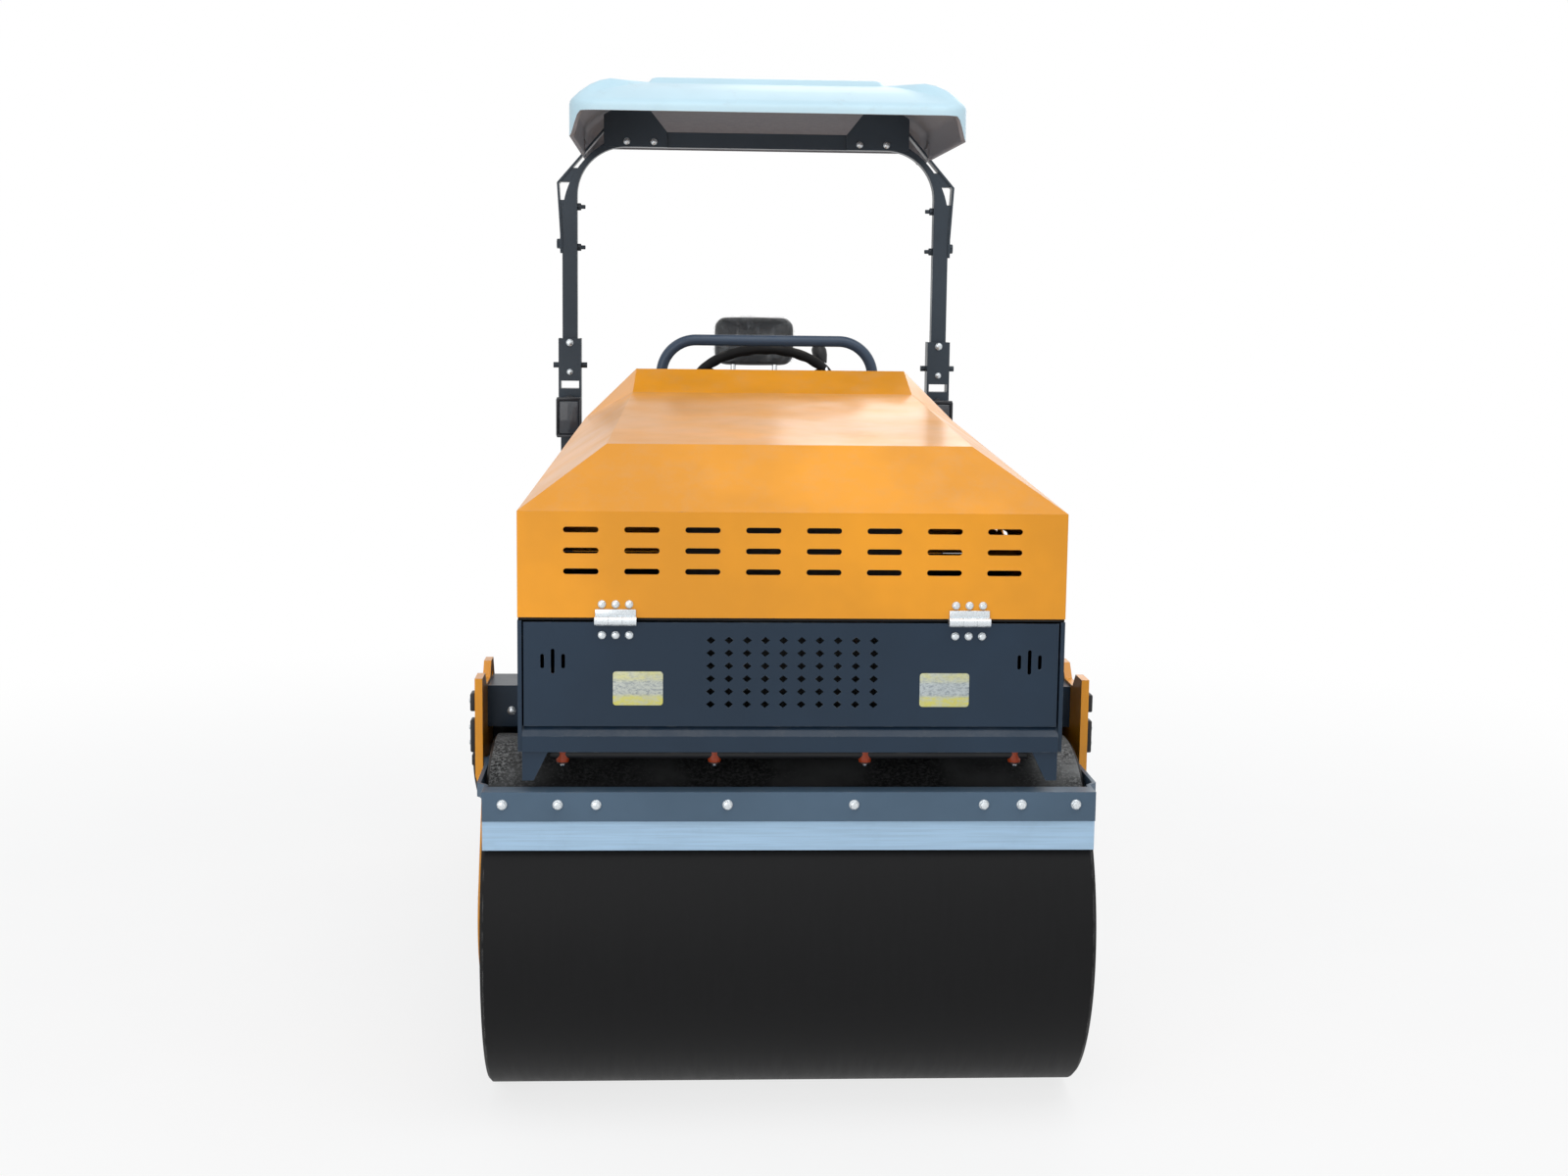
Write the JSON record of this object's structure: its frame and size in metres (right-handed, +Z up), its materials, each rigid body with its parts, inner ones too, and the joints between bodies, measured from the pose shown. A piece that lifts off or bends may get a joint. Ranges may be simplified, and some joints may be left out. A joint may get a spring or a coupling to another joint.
{
  "type": "tandem road roller",
  "caption": "Ride-on tandem road roller: smooth drums front and rear, tilting hood, pivot steering between the ends, open driver's stand and a folding roll bar with roof.",
  "frame": {"origin": "on the ground under the centre pivot, at the middle of the base of the bounding box", "axes": "+Z up, +Y towards the driver's end (the engine end faces -Y), +X to the side; drum axles along X"},
  "size_m": [1.272, 2.47, 2.175],
  "materials": {
    "yellow_paint": "satin",
    "blue_paint": "satin",
    "rops_paint": "satin",
    "rail_paint": "satin",
    "drum_paint": "worn",
    "blade_steel": "worn",
    "bare_steel": "brushed",
    "engine_metal": "rough",
    "canopy_plastic": "gloss",
    "tank_plastic": "satin",
    "black_plastic": "matte",
    "seat_vinyl": "matte",
    "lamp_case": "gloss",
    "motor_paint": "satin"
  },
  "bodies": {
    "front_frame": {"front_side_walls": "blue_paint", "front_deck": "blue_paint", "engine_yoke": "blue_paint", "pivot_pin": "bare_steel", "front_panel": "blue_paint", "engine": "engine_metal", "hinge_lower_leaves": "bare_steel", "front_carriers": "yellow_paint", "front_motors": "motor_paint", "front_scraper_beam": "blue_paint", "front_scraper_blade": "blade_steel", "front_spray_bar": "black_plastic"},
    "hood": {"hood_shell": "yellow_paint", "hinge_upper_leaves": "bare_steel"},
    "front_drum": {"front_drum_shell": "drum_paint", "front_drum_axle": "drum_paint"},
    "rear_frame": {"driver_tongue": "blue_paint", "rear_side_walls": "blue_paint", "rear_deck": "blue_paint", "driver_floor": "blue_paint", "foot_steps": "blue_paint", "console": "black_plastic", "grab_rail": "rail_paint", "steering_column": "black_plastic", "steering_wheel": "black_plastic", "water_tank": "tank_plastic", "rear_panel": "blue_paint", "seat_base": "black_plastic", "seat_cushion": "seat_vinyl", "seat_back": "seat_vinyl", "headrest": "seat_vinyl", "rear_carriers": "yellow_paint", "rear_motors": "motor_paint", "rear_scraper_beam": "blue_paint", "rear_scraper_blade": "blade_steel", "rear_spray_bar": "black_plastic", "rops_feet": "rops_paint", "work_lamps": "lamp_case"},
    "rear_drum": {"rear_drum_shell": "drum_paint", "rear_drum_axle": "drum_paint"},
    "rops": {"rops_arch": "rops_paint", "rops_straps": "rops_paint", "canopy": "canopy_plastic"},
    "cylinder_barrel": {"cylinder_barrel": "motor_paint"},
    "cylinder_rod": {"cylinder_rod": "bare_steel"}
  },
  "joints": [
    {"name": "steering", "type": "hinge", "parent": "front_frame", "child": "rear_frame", "pos_m": [0, 0, 0.495], "axis": [0, 0, 1], "range_deg": [-30, 30]},
    {"name": "front_drum_spin", "type": "hinge", "parent": "front_frame", "child": "front_drum", "pos_m": [0, -0.875, 0.36], "axis": [1, 0, 0], "continuous": true},
    {"name": "rear_drum_spin", "type": "hinge", "parent": "rear_frame", "child": "rear_drum", "pos_m": [0, 0.875, 0.36], "axis": [1, 0, 0], "continuous": true},
    {"name": "hood_tilt", "type": "hinge", "parent": "front_frame", "child": "hood", "pos_m": [0, -1.2, 1.013], "axis": [1, 0, 0], "range_deg": [0, 75]},
    {"name": "rops_fold", "type": "hinge", "parent": "rear_frame", "child": "rops", "pos_m": [0, 0.89, 1.43], "axis": [-1, 0, 0], "range_deg": [0, 90]},
    {"name": "cylinder_swing", "type": "hinge", "parent": "front_frame", "child": "cylinder_barrel", "pos_m": [0.25, -0.3, 0.495], "axis": [0, 0, 1], "range_deg": [-16, 16]},
    {"name": "cylinder_stroke", "type": "slide", "parent": "cylinder_barrel", "child": "cylinder_rod", "axis": [0, 1, 0], "range_m": [-0.13, 0.13]}
  ],
  "couplings": [
    {"joint": "cylinder_swing", "follows": "steering", "ratio": 0.5},
    {"joint": "cylinder_stroke", "follows": "steering", "m_per_rad": 0.247}
  ]
}
